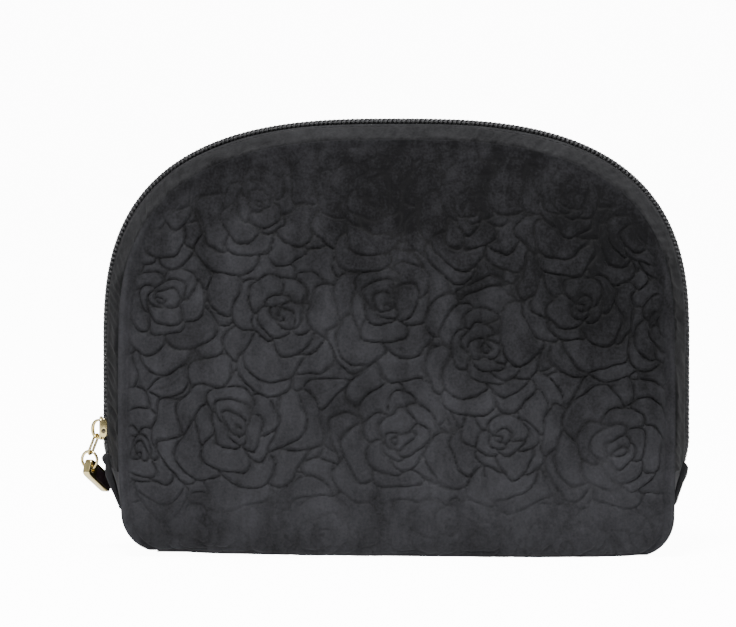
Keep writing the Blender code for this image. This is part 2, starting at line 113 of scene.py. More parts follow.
def new_finish(name):
    """A new material and its node tree."""
    finish = bpy.data.materials.new(name)
    finish.use_nodes = True
    return finish, finish.node_tree


def to_shader(tree, sockets):
    fill_sockets(tree, tree.nodes["Principled BSDF"], sockets)


paper, tree = new_finish("white paper")
to_camera = add_node(tree, "LightPath", {}).outputs["Is Camera Ray"]
to_shader(tree, {"Base Color": (0.96, 0.96, 0.96, 1), "Roughness": 0.9, "Emission Strength": 1.3,
                 "Emission Color": blend_colours(tree, (0.16, 0.16, 0.16, 1), (9, 9, 9, 1), to_camera)})
sweep.data.materials.append(paper)


def soft_box(name, place, size, power):
    """A square area light that looks at the middle of the bag."""
    light = bpy.data.lights.new(name, "AREA")
    light.shape = "SQUARE"
    light.size = size
    light.energy = power
    holder = bpy.data.objects.new(name, light)
    bpy.context.scene.collection.objects.link(holder)
    holder.location = place
    holder.rotation_euler = (VIEW_MIDDLE - Vector(place)).to_track_quat("-Z", "Y").to_euler()


soft_box("key light", (-0.25, -0.85, 1.75), 0.45, 52.0)
soft_box("fill light", (1.3, -1.5, 0.5), 0.8, 7.0)
soft_box("top light", (0.1, 0.4, 1.7), 0.8, 10.0)
world = bpy.data.worlds.new("studio")
bpy.context.scene.world = world
world.use_nodes = True
tree = world.node_tree
direction = add_node(tree, "TexCoord", {}).outputs["Generated"]
air_parts = add_node(tree, "SeparateXYZ", {"Vector": direction})
air_height = add_node(tree, "MapRange", {"Value": air_parts.outputs["Z"], "From Min": -1.0})
air_bands = add_node(tree, "ValToRGB", {"Fac": air_height.outputs["Result"]})
for place, shade in ((0.0, 0.85), (0.46, 0.9), (0.52, 0.30), (0.62, 0.20), (0.70, 0.9), (0.80, 1.0),
                     (0.9, 0.35)):
    stop = air_bands.color_ramp.elements.new(place)
    stop.color = (shade, shade, shade, 1)
to_camera = add_node(tree, "LightPath", {}).outputs["Is Camera Ray"]
air_colour = blend_colours(tree, air_bands.outputs["Color"], (18, 18, 18, 1), to_camera)
fill_sockets(tree, tree.nodes["Background"], {"Color": air_colour, "Strength": 0.60})

# Front and back panels: black velvet pressed with roses over thin foam, turned in along the
# rim. The cloth swells between the rim seams and rolls under the bag at its foot.
PANEL_LOW, PANEL_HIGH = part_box("front_panel")
ZIP_LOW, ZIP_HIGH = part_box("front_zip_coil")
SHOULDER_Z = 75.0 * MM
DOME_POWER = 2.8
DEPTH_TOP, DEPTH_LOW, DEPTH_POWER = 15.0 * MM, 29.0 * MM, 1.3
BULGE = -PANEL_LOW[1] - DEPTH_LOW
ROLL_HEIGHT, CORNER_REACH = 14.0 * MM, 12.0 * MM
BASE_DEPTH_END, BASE_BOW = 24.0 * MM, 4.0 * MM
RIM_X, RIM_Z = PANEL_HIGH[0], PANEL_HIGH[2]
BASE_X = RIM_X - CORNER_REACH
VELVET = 1.2 * MM
ROLL_SHARE = 0.13
EDGE_CROWDING, EDGE_STEP = 0.5, 0.001


def smooth(value):
    value = np.clip(value, 0.0, 1.0)
    return value * value * (3.0 - 2.0 * value)


def ramp(value, start, length):
    """Rises smoothly from 0 at the start to 1 after a length."""
    return smooth((value - start) / length)


def ridge(distance, place, width):
    """A smooth ridge 1 high, at a place and with a width."""
    return np.exp(-((distance - place) / width) ** 2)


def mix(first, second, share):
    return first + (second - first) * share


def rim_depth(z):
    share = np.maximum(z - ROLL_HEIGHT, 0.0) / (RIM_Z - ROLL_HEIGHT)
    return mix(DEPTH_LOW, DEPTH_TOP, share ** DEPTH_POWER)


def base_depth(x):
    return BASE_DEPTH_END + BASE_BOW * (1.0 - (x / BASE_X) ** 2)


def rim_top(x):
    share = np.clip(np.abs(x) / RIM_X, 0.0, 1.0)
    return SHOULDER_Z + (RIM_Z - SHOULDER_Z) * (1.0 - share ** DOME_POWER) ** (1.0 / DOME_POWER)


def panel_surface(across, up):
    """Outer side of the front panel's cloth: across -1 to 1, up 0 (foot) to 1 (rim)."""
    side = mix(across, np.sin(0.5 * np.pi * across), EDGE_CROWDING)
    turn = 0.5 * np.pi * np.clip(up / ROLL_SHARE, 0.0, 1.0)
    swing = np.sin(turn)
    low_rim = BASE_X + CORNER_REACH * swing
    x = side * low_rim
    low_z = ROLL_HEIGHT * (1.0 - np.cos(turn))
    high_z = mix(ROLL_HEIGHT, rim_top(side * RIM_X), (up - ROLL_SHARE) / (1.0 - ROLL_SHARE))
    z = np.where(up < ROLL_SHARE, low_z, high_z)
    swell = BULGE * (1.0 - np.clip(np.abs(x) / low_rim, 0, 1) ** 4)
    swell = swell * smooth((rim_top(x) - z) / (4.0 * ROLL_HEIGHT))
    y = mix(base_depth(x), rim_depth(z) + swell, swing)
    return np.stack([x, -y, z], axis=-1)


def outward(surface, across, up, lowest=0.0):
    """Unit normals of such a surface, from small steps along it that stay inside its edges."""
    step = 1e-4
    across = np.clip(across, EDGE_STEP - 1.0, 1.0 - EDGE_STEP)
    up = np.clip(up, lowest + EDGE_STEP, 1.0 - EDGE_STEP)
    along_u = surface(across + step, up) - surface(across - step, up)
    along_v = surface(across, up + step) - surface(across, up - step)
    normal = np.cross(along_u, along_v)
    return normal / np.maximum(np.linalg.norm(normal, axis=-1, keepdims=True), 1e-15)


ROSES = [  # x and height on the cloth, radius, turn
    (-72, 12, 20, 10), (-27, 10, 21, 75), (20, 13, 20, 140), (61, 9, 21, 35), (97, 14, 17, 80),
    (-94, 40, 18, 50), (-58, 50, 23, 115), (1, 47, 21, 20), (38, 46, 20, 95), (81, 42, 23, 160),
    (-84, 96, 21, 65), (-41, 91, 21, 0), (-3, 95, 22, 130), (33, 79, 20, 45), (66, 95, 23, 105),
    (101, 86, 14, 20), (-86, 131, 18, 30), (-50, 131, 21, 90), (-10, 135, 21, 15),
    (28, 128, 20, 150), (62, 133, 20, 70), (94, 122, 16, 5)]
LEAVES = [  # x and height on the cloth, length, turn
    (-28, 62, 13, 35), (-22, 34, 12, 120), (60, 65, 13, 20), (12, 68, 12, 100), (57, 25, 11, 60),
    (-62, 74, 13, 150), (-62, 112, 13, 40), (-22, 114, 12, 75), (11, 110, 12, 120), (46, 111, 13, 50),
    (84, 67, 13, 110), (-101, 68, 12, 70), (-40, 29, 11, 20), (-99, 112, 12, 100), (86, 112, 10, 140),
    (-66, 148, 10, 10), (8, 150, 11, 165), (46, 149, 10, 20), (-82, 67, 10, 20), (100, 60, 10, 80)]
PETAL_RINGS = [  # count, distance from the heart, length and width as shares of the radius
    (7, 0.93, 0.34, 0.46), (5, 0.64, 0.36, 0.48), (5, 0.41, 0.27, 0.34), (3, 0.21, 0.22, 0.27),
    (2, 0.08, 0.14, 0.17), (1, 0.02, 0.06, 0.07)]
GROOVE = 0.52
PUFF_REACH = 0.9
LIP, LIP_PLACE, LIP_WIDTH = 0.30, 1.2, 0.7


def press(puff, groove, tone, edge, new_tone):
    """Lays one petal or leaf over what is there: edge is the distance inside its outline."""
    line = ridge(edge, 0.0, GROOVE)
    inside = edge > 0
    depth = np.maximum(edge, 0.0)
    pillow = 1.0 - np.exp(-depth / PUFF_REACH) + LIP * ridge(depth, LIP_PLACE, LIP_WIDTH)
    puff = np.where(inside, pillow, puff)
    groove = np.where(inside, line, np.maximum(groove, line))
    return puff, groove, np.where(inside, new_tone, tone)


def rose_relief(x, height):
    """Puff, groove and tone of the pressed pattern, for places on the flat cloth in millimetres."""
    drift_x, drift_up = [1.3 * gentle_noise(x, height, 21.0, seed)
                         + 0.35 * gentle_noise(x, height, 8.0, seed + 2) for seed in (51, 52)]
    x, height = x + drift_x, height + drift_up
    puff, groove, tone = np.full(x.shape, 0.5), np.zeros(x.shape), np.zeros(x.shape)
    for leaf_x, leaf_z, length, turn in LEAVES:
        near = np.nonzero(np.hypot(x - leaf_x, height - leaf_z) < 1.3 * length)[0]
        a, b = x[near] - leaf_x, height[near] - leaf_z
        c, s = math.cos(math.radians(turn)), math.sin(math.radians(turn))
        a, b = a * c + b * s, b * c - a * s
        edge = 0.42 * length * (1.0 - (a / length) ** 2) - np.abs(b)
        new_tone = 0.5 * math.sin(0.9 * leaf_x + leaf_z)
        puff[near], groove[near], tone[near] = press(puff[near], groove[near], tone[near], edge, new_tone)
        vein = ridge(b, 0.0, 0.8 * GROOVE) * (np.abs(a) < 0.8 * length)
        groove[near] = np.maximum(groove[near], 0.45 * vein)
    for number, (rose_x, rose_z, radius, turn) in enumerate(ROSES):
        near = np.nonzero(np.hypot(x - rose_x, height - rose_z) < 1.4 * radius)[0]
        dx, dz = x[near] - rose_x, height[near] - rose_z
        heap, line, shade = puff[near], groove[near], tone[near]
        for ring, (count, distance, length, width) in enumerate(PETAL_RINGS):
            for petal in range(count):
                wobble = 0.16 * math.sin(2.3 * petal + 1.7 * ring + number)
                angle = math.radians(turn) + 2.0 * math.pi * (petal + wobble) / count + 0.6 * ring
                c, s = math.cos(angle), math.sin(angle)
                size = radius * (1.0 + 0.10 * math.sin(3.1 * petal + number))
                a = (dx * c + dz * s) / size - distance
                b = (dz * c - dx * s) / size
                round_off = (np.abs(a / length) ** 2.5 + np.abs(b / width) ** 2.5) ** 0.4
                edge = (1.0 - round_off) * min(length, width) * size
                new_tone = math.sin(5.1 * petal + 2.3 * ring + 1.9 * number)
                heap, line, shade = press(heap, line, shade, edge, new_tone)
        puff[near], groove[near], tone[near] = heap, line, shade
    return puff, groove, tone


def gentle_noise(x, y, scale, seed):
    """Smooth waves in every direction, between about -1 and 1; scale is a wave's length."""
    draw = np.random.default_rng(seed)
    total = np.zeros(np.broadcast(x, y).shape)
    for _ in range(14):
        angle, phase = draw.uniform(0, 2 * math.pi, 2)
        length = scale * draw.uniform(0.6, 1.8)
        total += np.sin((x * math.cos(angle) + y * math.sin(angle)) * 2 * math.pi / length + phase)
    return total / 3.7


def grid_object(name, columns, rows):
    """A fresh grid to be shaped, and its places u -1 to 1 and v 0 to 1."""
    bpy.ops.object.select_all(action="DESELECT")
    bpy.ops.mesh.primitive_grid_add(x_subdivisions=columns, y_subdivisions=rows, size=2.0)
    item = bpy.context.object
    item.name = item.data.name = name
    flat = np.empty(3 * len(item.data.vertices))
    item.data.vertices.foreach_get("co", flat)
    flat = flat.reshape(-1, 3)
    return item, flat[:, 0], 0.5 * (flat[:, 1] + 1.0)


def set_places(item, places):
    item.data.vertices.foreach_set("co", np.ascontiguousarray(places, np.float64).ravel())
    item.data.update()


def paint(item, name, values):
    """Stores one number a vertex, for the finish to read."""
    layer = item.data.attributes.new(name, "FLOAT", "POINT")
    layer.data.foreach_set("value", np.asarray(values, np.float32))


def work_on(item, steps):
    """Runs steps on the object's mesh."""
    work = bmesh.new()
    work.from_mesh(item.data)
    steps(work)
    work.to_mesh(item.data)
    work.free()


def turn_faces(item):
    work_on(item, lambda work: bmesh.ops.reverse_faces(work, faces=work.faces))


def bridge_rims(work):
    bmesh.ops.bridge_loops(work, edges=[edge for edge in work.edges if edge.is_boundary])


def close_tube(work):
    bmesh.ops.remove_doubles(work, verts=work.verts, dist=1e-6)
    bmesh.ops.recalc_face_normals(work, faces=work.faces)


def choose(*items):
    """Selects these objects only; the first becomes the active one."""
    bpy.ops.object.select_all(action="DESELECT")
    for item in items:
        item.select_set(True)
    bpy.context.view_layer.objects.active = items[0]


def join_walls(outer, inner):
    """Makes one closed wall of an outer and an inner sheet by bridging their rims."""
    choose(outer, inner)
    bpy.ops.object.join()
    work_on(outer, bridge_rims)
    bpy.ops.object.shade_smooth()
    return outer


def slump(places):
    """The soft lower corners lift a little off the floor and draw in, the left one more."""
    x, y, z = places.T / MM
    left, right = smooth((-x - 62.0) / 38.0), ramp(x, 76.0, 25.0)
    leftward = smooth((60.0 - x) / 150.0) * smooth((-y - 10.0) / 12.0)
    low = smooth(1.0 - z / 42.0)
    lift = 1.4 * left + 0.9 * right + 1.2 * leftward
    places[:, 0] += (1.5 * left - 0.4 * right) * low * MM
    places[:, 2] = np.maximum(places[:, 2], 0.0) + lift * low * MM
    return places


def rim_distance(x, z):
    """Millimetres from the panel's rim, measured along the cloth."""
    rise = np.maximum(z - SHOULDER_Z, 0.0) / (RIM_Z - SHOULDER_Z)
    swing = np.sqrt(np.clip(1.0 - (1.0 - np.minimum(z, ROLL_HEIGHT) / ROLL_HEIGHT) ** 2, 0, 1))
    half = BASE_X + CORNER_REACH * swing
    share = (np.abs(x / half) ** DOME_POWER + rise ** DOME_POWER) ** (1.0 / DOME_POWER)
    flat_side = half - np.abs(x)
    return np.where(z > SHOULDER_Z, (1.0 - share) * 0.9 * RIM_X, flat_side) / MM


COLUMNS, ROWS = 420, 330
RELIEF, GROOVE_DEPTH, DEEPEST = 0.60, 0.85, -1.0
ROLL_LENGTH = 17.0
BEAD_PLACE, DIP_PLACE, BEAD_WIDTH = 1.0, 3.2, 0.9
TOP_START, TOP_LENGTH = 116.0, 22.0


def brushed_nap_and_painted_shade(x, height, tone, seed):
    """How light the pile lies, 0 to 1: painted shade makes it darker to the top right, at the top and
    near the foot, with broad and small brushed marks of the pile.
    """
    # painted shade: darker to the top right, at the top and near the foot; the waves below are brushed
    # marks in the pile
    pile_tone_and_painted_light = 0.62 - 0.44 * smooth((height + 0.35 * x - 50.0) / 88.0)
    pile_tone_and_painted_light -= 0.11 * ramp(height, TOP_START, TOP_LENGTH) + 0.05 * (1.0 - smooth(height / 34.0))
    pile_tone_and_painted_light += 0.05 * gentle_noise(x, height, 48.0, seed)
    pile_tone_and_painted_light += 0.06 * gentle_noise(x, 0.8 * height, 19.0, seed + 1)
    return np.clip(pile_tone_and_painted_light + 0.04 * tone, 0.14, 1.0)


def velvet_panel(name, side):
    """Front (side -1) or back (side 1) panel, with the pressed roses in its surface."""
    item, u, v = grid_object(name, COLUMNS, ROWS)
    places = panel_surface(u, v)
    normals = outward(panel_surface, u, v)
    height = np.where(v < ROLL_SHARE, v / ROLL_SHARE * ROLL_LENGTH,
                      (places[:, 2] - ROLL_HEIGHT) / MM + ROLL_LENGTH)
    x = places[:, 0] / MM * -side
    puff, groove, tone = rose_relief(x, height)
    edge = rim_distance(places[:, 0], places[:, 2])
    fade = ramp(edge, 2.0, 5.0)
    bead = 0.55 * ridge(edge, BEAD_PLACE, BEAD_WIDTH) - 0.65 * ridge(edge, DIP_PLACE, BEAD_WIDTH)
    bead *= 1.0 - 0.7 * ramp(height, 108.0, 30.0)
    soft = 0.55 * gentle_noise(x, height, 46.0, 3 + side)
    soft += 0.22 * gentle_noise(x, height, 17.0, 8 + side)
    crisp = 0.35 + 0.65 * ramp(height, 16.0, 22.0)
    crisp *= 1.0 - 0.50 * ramp(height, TOP_START, TOP_LENGTH)
    relief = fade * (crisp * (RELIEF * puff - GROOVE_DEPTH * groove) + soft) + bead
    relief = np.maximum(relief, DEEPEST) * smooth(height / 3.0)
    places += normals * (relief * MM)[:, None]
    places[:, 1] *= -side
    set_places(item, slump(places))
    paint(item, "groove", groove * fade * crisp)
    # painted light: lighter on the rim bead and the raised petal lips, darker in the low places between
    # them
    painted_relief_light = 0.12 * ridge(edge, BEAD_PLACE, BEAD_WIDTH) * (1.0 - ramp(height, 100.0, 30.0))
    painted_relief_light += 0.16 * (puff - 0.9) * fade * crisp
    paint(item, "pile_tone_and_painted_light", brushed_nap_and_painted_shade(x, height, tone * fade, 60 + side) + painted_relief_light)
    lining_side, u, v = grid_object(f"{name} inner side", 40, 36)
    under = panel_surface(u, v) - outward(panel_surface, u, v) * VELVET
    under[:, 1] *= -side
    set_places(lining_side, slump(under))
    turn_faces(item if side > 0 else lining_side)
    return join_walls(item, lining_side)


def surface_group(name, takes):
    """A node group that gives a colour, a roughness and a height; takes are its inputs."""
    group = bpy.data.node_groups.new(name, "ShaderNodeTree")
    for label, kind, value in takes:
        socket = group.interface.new_socket(label, in_out="INPUT", socket_type=f"NodeSocket{kind}")
        socket.default_value = value
    for label, kind in (("Color", "Color"), ("Roughness", "Float"), ("Height", "Float")):
        group.interface.new_socket(label, in_out="OUTPUT", socket_type=f"NodeSocket{kind}")
    return group, group.nodes.new("NodeGroupInput").outputs, group.nodes.new("NodeGroupOutput")


def pile_group():
    """Velvet pile: brushed light and dark patches, fine fibre grain, a given pile tone that carries
    painted shade and highlights, and pressed places darkened partly as crushed pile and partly as painted
    groove shade.
    """
    group, given, gives = surface_group("velvet pile", (
        ("Deep", "Color", (0.006, 0.006, 0.007, 1)), ("Lit", "Color", (0.04, 0.04, 0.044, 1)),
        ("Pile Tone and Painted Light", "Float", 0.5), ("Pressed", "Float", 0.0), ("Patch Size", "Float", 30.0)))
    where = add_node(group, "TexCoord", {}).outputs["Object"]
    brushed = add_node(group, "Mapping", {"Vector": where, "Scale": (1.0, 1.0, 0.62)}).outputs[0]
    patches = add_node(group, "TexNoise", {"Vector": brushed, "Scale": given["Patch Size"],
                                           "Detail": 5.0, "Roughness": 0.62, "Distortion": 0.8})
    marks = add_node(group, "TexNoise", {"Vector": brushed, "Scale": 210.0, "Detail": 6.0,
                                         "Roughness": 0.66})
    grain = add_node(group, "TexNoise", {"Vector": where, "Scale": 1100.0, "Detail": 3.0})
    lightness = given["Pile Tone and Painted Light"]
    for texture, low, high, reach, curve in ((patches, 0.34, 0.68, 0.13, "SMOOTHSTEP"),
                                             (marks, 0.3, 0.7, 0.20, "LINEAR"),
                                             (grain, 0.0, 1.0, 0.34, "LINEAR")):
        spread = add_node(group, "MapRange", {
            "Value": texture.outputs["Fac"], "From Min": low, "From Max": high,
            "To Min": -reach, "To Max": reach}, interpolation_type=curve)
        lightness = add_node(group, "Math", {0: lightness, 1: spread.outputs["Result"]}).outputs[0]
    # pressed places darker: partly the crushed pile, partly painted shade in the grooves
    pile_tone_with_painted_shade = add_node(group, "Math", {0: given["Pressed"], 1: -0.20, 2: lightness},
                       operation="MULTIPLY_ADD", use_clamp=True)
    gloss = add_node(group, "MapRange", {"Value": given["Pressed"], "To Min": 0.92, "To Max": 0.62})
    fuzz = add_node(group, "Math", {0: grain.outputs["Fac"], 1: patches.outputs["Fac"]})
    fill_sockets(group, gives, {
        "Color": blend_colours(group, given["Deep"], given["Lit"], pile_tone_with_painted_shade.outputs[0]),
        "Roughness": gloss.outputs["Result"], "Height": fuzz.outputs[0]})
    return group


PILE = pile_group()


def bumped(tree, height, strength, distance):
    """A normal that follows a height."""
    bump = add_node(tree, "Bump", {"Height": height, "Strength": strength, "Distance": distance})
    return bump.outputs["Normal"]


def velvet_finish(name, deep, lit, patch_size, sheen, worked=False):
    """Velvet with a soft sheen; worked velvet reads from its mesh its own pile tone with painted shade
    and highlights, and its pressed places.
    """
    finish, tree = new_finish(name)
    pile = add_node(tree, "Group", {"Deep": (*deep, 1), "Lit": (*lit, 1), "Patch Size": patch_size},
                    node_tree=PILE)
    # the mesh carries painted shade and highlights together with the pile tone
    for socket, attribute in (("Pressed", "groove"), ("Pile Tone and Painted Light", "pile_tone_and_painted_light")) if worked else ():
        carried = add_node(tree, "Attribute", {}, attribute_name=attribute)
        fill_sockets(tree, pile, {socket: carried.outputs["Fac"]})
    to_shader(tree, {"Base Color": pile.outputs["Color"], "Roughness": pile.outputs["Roughness"],
                     "Normal": bumped(tree, pile.outputs["Height"], 0.35, 0.0003),
                     "Sheen Weight": sheen, "Sheen Roughness": 0.45,
                     "Sheen Tint": (0.55, 0.55, 0.60, 1), "Specular IOR Level": 0.15})
    return finish


rose_velvet = velvet_finish("rose velvet", (0.003, 0.003, 0.0035), (0.032, 0.032, 0.036), 34.0, 0.10,
                            worked=True)
for panel_name, side in (("front panel", -1), ("back panel", 1)):
    panel = velvet_panel(panel_name.replace(" ", "_") + "_velvet", side)
    panel.data.materials.append(rose_velvet)
    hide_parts(panel_name.replace(" ", "_"), panel_name.replace(" panel", "_padding"))
    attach(panel, "bag")

# Facings: two plain velvet strips that run over the bag from one end of the zip to the other.
# The outer edge of each is sewn into the panel's rim; the other is folded and topstitched
# beside the coil, which gathers the velvet into small crossways pleats.
HALF_WIDTH, HEIGHT, ZIP_END_Z = ZIP_HIGH[0], ZIP_HIGH[2], ZIP_LOW[2]
RIM_INSET = HALF_WIDTH - RIM_X
TOP_SHARE = (HEIGHT - RIM_Z) / RIM_INSET
TAPER_LOW_Z, TAPER_TOP_Z = 12.0 * MM, 42.0 * MM
LEG = 0.25
FACING_EDGE, FACING_DROP = 5.3 * MM, 1.0 * MM
FACING_TUCK = 0.8 * MM
STITCH_LINE = 1.7
STITCH_PITCH = 2.6 * MM
THREAD = 0.17 * MM


def widening(z):
    """0 at the narrow foot of the strips to 1 where they have their full width."""
    return smooth((z - TAPER_LOW_Z) / (TAPER_TOP_Z - TAPER_LOW_Z))


def half_outline(step, inset, depth):
    """Half of the arch: step 0 is the zip's lower end, 1 is the top of the dome."""
    reach = HALF_WIDTH - inset - depth
    leg_z = mix(ZIP_END_Z, SHOULDER_Z, step / LEG)
    taper = 1.0 - widening(leg_z)
    turn = 0.5 * np.pi * np.clip((step - LEG) / (1.0 - LEG), 0.0, 1.0)
    rise = HEIGHT - SHOULDER_Z - TOP_SHARE * inset - depth
    dome_x = reach * np.maximum(np.cos(turn), 0.0) ** (2.0 / DOME_POWER)
    dome_z = SHOULDER_Z + rise * np.sin(turn) ** (2.0 / DOME_POWER)
    on_leg = step < LEG
    leg_x = reach - (RIM_INSET - inset) * taper
    return np.where(on_leg, leg_x, dome_x), np.where(on_leg, leg_z, dome_z)


ARCH_STEPS = np.linspace(0.0, 1.0, 4001)
ARCH_PIECES = np.hypot(*np.diff(half_outline(ARCH_STEPS, 0.0, 0.0)))
ARCH_LENGTHS = np.concatenate([[0.0], np.cumsum(ARCH_PIECES)])
ARCH_LENGTH = 2.0 * ARCH_LENGTHS[-1]


def arch(along, inset, depth=0.0):
    """A place on the arch, along -1 (left end of the zip) to 1 (right end)."""
    step = np.interp(1.0 - np.abs(along), ARCH_LENGTHS / ARCH_LENGTHS[-1], ARCH_STEPS)
    x, z = half_outline(step, inset, depth)
    return np.copysign(x, along), z


def facing_surface(along, share):
    """Outer side of the front facing: share 0 is its zip edge, 1 is under the panel's rim."""
    edge_x, edge_z = arch(along, FACING_DROP)
    rim_x, rim_z = arch(along, RIM_INSET)
    y = mix(FACING_EDGE, rim_depth(rim_z) - FACING_TUCK, share)
    return np.stack([mix(edge_x, rim_x, share), -y, mix(edge_z, rim_z, share)], axis=-1)


def wall(item, thickness):
    """Gives a sheet its thickness, inwards, and smooth shading."""
    choose(item)
    solid = item.modifiers.new("wall", "SOLIDIFY")
    solid.thickness = thickness
    solid.offset = -1.0
    bpy.ops.object.modifier_apply(modifier=solid.name)
    bpy.ops.object.shade_smooth()


def facing_width(along):
    """The strip's width from its zip edge to the panel's rim."""
    return np.linalg.norm(facing_surface(along, 1.0) - facing_surface(along, 0.0), axis=-1)


def facing_relief(along, share):
    """Millimetres that the facing stands out or in: fold, stitch line, pleats and rim seam."""
    length = along * ARCH_LENGTH * 0.5 / MM
    width = facing_width(along) / MM
    away = share * width
    pleats = gentle_noise(length + 0.3 * away, 0.10 * away, 3.4, 21)
    pleats *= 0.5 + 0.5 * smooth(0.5 + 0.8 * gentle_noise(length, 0.0, 33.0, 22))
    relief = 0.40 * pleats * ramp(away, 1.2, 2.5) * (0.55 + 0.45 * share)
    waves = gentle_noise(length, 1.5 * away, 27.0, 23) * smooth(away / 4.0)
    relief += 0.42 * waves * smooth((width - away) / 3.0)
    relief += 0.30 * ridge(away, 0.9, 0.5) - 0.5 * ridge(away, 0.0, 0.4) - 0.75 * ridge(away, 0.0, 2.2)
    relief -= 0.34 * ridge(away, STITCH_LINE, 0.34)
    return relief - 0.45 * ridge(width - away, 0.0, 0.9)


def facing_painted_light(along, share):
    """Painted light on the strip's pile: painted shade down both sides and towards the panel's rim, and a
    painted highlight on the fold beside the coil.
    """
    z = arch(along, 0.0)[1]
    # painted shade: both sides darker than the top, the left side most
    side_painted_shade = np.where(along < 0, 0.08, 0.20)
    pile_tone_and_painted_light = mix(side_painted_shade, 0.50, smooth((z - 88.0 * MM) / (46.0 * MM)))
    return pile_tone_and_painted_light + 0.26 * ridge(share, 0.10, 0.13) - 0.22 * ramp(share, 0.78, 0.2)


def facing_place(along, share):
    normal = outward(facing_surface, along, share)
    return facing_surface(along, share) - normal * (facing_relief(along, share) * MM)[..., None]


def join_all(name, items):
    choose(*items)
    bpy.ops.object.join()
    items[0].name = items[0].data.name = name
    return items[0]


def tube(name, points, radius, closed=False, sides=1):
    """A round wire or thread through the given points, as a mesh with closed ends."""
    curve = bpy.data.curves.new(name, "CURVE")
    curve.dimensions = "3D"
    curve.bevel_depth = radius
    curve.bevel_resolution = sides
    curve.use_fill_caps = not closed
    for run in points if isinstance(points, list) else [points]:
        spline = curve.splines.new("POLY")
        spline.points.add(len(run) - 1)
        spline.points.foreach_set("co", np.column_stack([run, np.ones(len(run))]).ravel())
        spline.use_cyclic_u = closed
        spline.use_smooth = True
    item = bpy.data.objects.new(name, curve)
    bpy.context.scene.collection.objects.link(item)
    choose(item)
    bpy.ops.object.convert(target="MESH")
    item = bpy.context.object
    work_on(item, close_tube)
    bpy.ops.object.shade_smooth()
    return item


DEEP_PILE = (0.004, 0.004, 0.0045)
facing_velvet = velvet_finish("facing velvet", DEEP_PILE, (0.031, 0.031, 0.033), 45.0, 0.01, worked=True)
plain_velvet = velvet_finish("plain velvet", DEEP_PILE, (0.024, 0.024, 0.026), 45.0, 0.06)
thread_finish, tree = new_finish("sewing thread")
thread_where = add_node(tree, "TexCoord", {}).outputs["Object"]
thread_twist = add_node(tree, "TexNoise", {"Vector": thread_where, "Scale": 3500.0})
thread_tone = blend_colours(tree, (0.006, 0.006, 0.007, 1), (0.024, 0.024, 0.026, 1),
                            thread_twist.outputs["Fac"])
to_shader(tree, {"Base Color": thread_tone, "Roughness": 0.7, "Specular IOR Level": 0.25})
STITCH_STEPS = np.array([0.12, 0.3, 0.5, 0.7, 0.88])
STITCH_LIFTS = np.array([-0.10, 0.14, 0.18, 0.14, -0.10]) * MM
STITCHED_SHARE = 0.985

for label, side in (("front", -1), ("back", 1)):
    strip, u, v = grid_object(f"{label}_facing_velvet", 1000, 26)
    places = facing_place(u, 1.0 - v)
    places[:, 1] *= -side
    set_places(strip, places)
    if side > 0:
        turn_faces(strip)
    # painted shade and highlight for the facing's pile
    paint(strip, "pile_tone_and_painted_light", facing_painted_light(u, 1.0 - v))
    wall(strip, VELVET)
    strip.data.materials.append(facing_velvet)
    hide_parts(f"{label}_facing")
    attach(strip, "bag")
    count = int(ARCH_LENGTH / STITCH_PITCH)
    stitches = []
    for number in range(count):
        along = (2.0 * (number + STITCH_STEPS) / count - 1.0) * STITCHED_SHARE
        share = STITCH_LINE / (facing_width(along) / MM)
        run = facing_place(along, share)
        run = run - outward(facing_surface, along, share) * STITCH_LIFTS[:, None]
        run[:, 1] *= -side
        stitches.append(run)
    thread = tube(f"{label}_facing_stitches", stitches, THREAD)
    thread.data.materials.append(thread_finish)
    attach(thread, "bag")

# Base gusset: one strip of plain velvet under the bag and a short way up both sides, sewn to
# the foot of both panels over a stiff board. It is smooth, and drawn in at its seams.
GUSSET_FLAT, GUSSET_TURN = 13 / 22, 19 / 22
GUSSET_MIDDLE = 0.3
GUSSET_TUCK = 0.9 * MM
GUSSET_HALF = 27.0


def gusset_surface(along, across):
    """Outer side of the gusset: along -1 to 1 (left to right), across -1 (front) to 1."""
    step = np.abs(along)
    turn = 0.5 * np.pi * np.clip((step - GUSSET_FLAT) / (GUSSET_TURN - GUSSET_FLAT), 0.0, 1.0)
    swing = np.sin(turn)
    leg = np.clip((step - GUSSET_TURN) / (1.0 - GUSSET_TURN), 0.0, 1.0)
    x = mix(BASE_X, RIM_X, swing) * np.minimum(step / GUSSET_FLAT, 1.0)
    z = mix(ROLL_HEIGHT, 0.0, np.cos(turn)) + leg * (ZIP_END_Z - ROLL_HEIGHT)
    rim_y = np.where(leg > 0, rim_depth(z), mix(base_depth(x), DEPTH_LOW, swing)) - GUSSET_TUCK
    out = np.abs(across)
    fall = np.clip((out - GUSSET_MIDDLE) / (1.0 - GUSSET_MIDDLE), 0.0, 1.0)
    y = np.where(out < GUSSET_MIDDLE, FACING_EDGE * out / GUSSET_MIDDLE, mix(FACING_EDGE, rim_y, fall))
    crown = widening(z) * (swing > 0.5)
    x = x + (RIM_INSET - FACING_DROP) * crown * (1.0 - fall)
    return np.stack([np.copysign(x, along), np.copysign(y, across), z], axis=-1)


